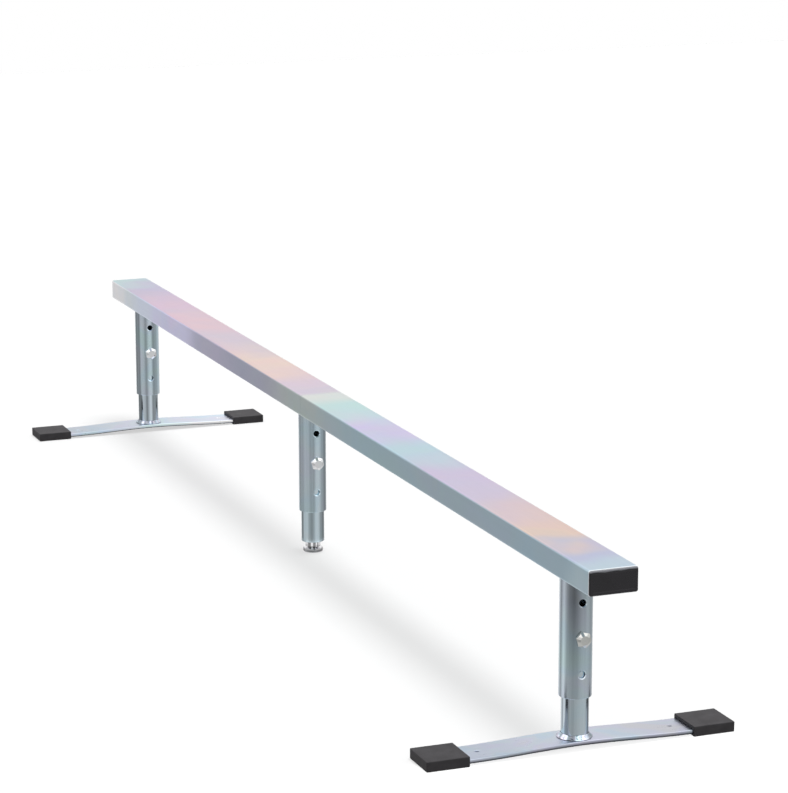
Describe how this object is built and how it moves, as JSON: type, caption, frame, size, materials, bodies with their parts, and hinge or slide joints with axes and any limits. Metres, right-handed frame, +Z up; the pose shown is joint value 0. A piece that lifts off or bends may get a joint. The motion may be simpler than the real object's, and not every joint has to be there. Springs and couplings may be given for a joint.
{
  "type": "skateboard grind rail",
  "caption": "Low skateboard grind rail: a flat-topped rectangular steel beam on telescoping legs with cross bolts, arched end feet with rubber caps and a centre screw foot.",
  "frame": {"origin": "on the floor under the middle of the beam", "axes": "+X along the beam towards the end that the bolt heads face, +Y across the beam, +Z up"},
  "size_m": [1.88, 0.382, 0.234],
  "materials": {
    "beam_zinc": "zinc plating with a pastel rainbow tint, satin",
    "tube_zinc": "bright blue-grey zinc plating",
    "plate_zinc": "bright zinc plating with a lilac tint",
    "weld_zinc": "rippled weld bead under bright zinc plating",
    "fastener_steel": "bright zinc plating",
    "cap_rubber": "matt dark rubber",
    "plug_plastic": "satin black moulded plastic"
  },
  "bodies": {
    "rail": {"beam_half_near": "beam_zinc", "beam_half_far": "beam_zinc", "joint_sleeve": "tube_zinc", "sleeve_screw_1": "fastener_steel", "sleeve_screw_2": "fastener_steel", "sleeve_screw_3": "fastener_steel", "sleeve_screw_4": "fastener_steel", "sleeve_nut_1": "fastener_steel", "sleeve_nut_2": "fastener_steel", "sleeve_nut_3": "fastener_steel", "sleeve_nut_4": "fastener_steel", "end_plug_near": "plug_plastic", "end_plug_far": "plug_plastic", "leg_socket_near": "tube_zinc", "leg_socket_centre": "tube_zinc", "leg_socket_far": "tube_zinc", "socket_weld_near": "weld_zinc", "socket_weld_centre": "weld_zinc", "socket_weld_far": "weld_zinc"},
    "leg_near": {"inner_tube_near": "tube_zinc", "foot_plate_near": "plate_zinc", "foot_weld_near": "weld_zinc", "foot_cap_near_left": "cap_rubber", "foot_cap_near_right": "cap_rubber"},
    "leg_far": {"inner_tube_far": "tube_zinc", "foot_plate_far": "plate_zinc", "foot_weld_far": "weld_zinc", "foot_cap_far_left": "cap_rubber", "foot_cap_far_right": "cap_rubber"},
    "leg_centre": {"inner_tube_centre": "tube_zinc", "foot_lock_nut": "fastener_steel", "tube_insert": "fastener_steel"},
    "foot": {"screw_foot": "fastener_steel"},
    "bolt_near": {"height_bolt_near": "fastener_steel"},
    "bolt_centre": {"height_bolt_centre": "fastener_steel"},
    "bolt_far": {"height_bolt_far": "fastener_steel"},
    "nut_near": {"bolt_nut_near": "fastener_steel", "bolt_washer_near": "fastener_steel"},
    "nut_centre": {"bolt_nut_centre": "fastener_steel", "bolt_washer_centre": "fastener_steel"},
    "nut_far": {"bolt_nut_far": "fastener_steel", "bolt_washer_far": "fastener_steel"}
  },
  "joints": [
    {"name": "leg_near_slide", "type": "slide", "parent": "rail", "child": "leg_near", "axis": [0, 0, 1], "range_m": [-0.042, 0.042]},
    {"name": "leg_centre_slide", "type": "slide", "parent": "rail", "child": "leg_centre", "axis": [0, 0, 1], "range_m": [-0.042, 0.042]},
    {"name": "leg_far_slide", "type": "slide", "parent": "rail", "child": "leg_far", "axis": [0, 0, 1], "range_m": [-0.042, 0.042]},
    {"name": "foot_screw_travel", "type": "slide", "parent": "leg_centre", "child": "foot", "axis": [0, 0, 1], "range_m": [-0.015, 0]},
    {"name": "bolt_near_draw", "type": "slide", "parent": "rail", "child": "bolt_near", "axis": [1, 0, 0], "range_m": [0, 0.055]},
    {"name": "bolt_centre_draw", "type": "slide", "parent": "rail", "child": "bolt_centre", "axis": [1, 0, 0], "range_m": [0, 0.055]},
    {"name": "bolt_far_draw", "type": "slide", "parent": "rail", "child": "bolt_far", "axis": [1, 0, 0], "range_m": [0, 0.055]},
    {"name": "nut_near_off", "type": "slide", "parent": "rail", "child": "nut_near", "axis": [-1, 0, 0], "range_m": [0, 0.015]},
    {"name": "nut_centre_off", "type": "slide", "parent": "rail", "child": "nut_centre", "axis": [-1, 0, 0], "range_m": [0, 0.015]},
    {"name": "nut_far_off", "type": "slide", "parent": "rail", "child": "nut_far", "axis": [-1, 0, 0], "range_m": [0, 0.015]}
  ]
}
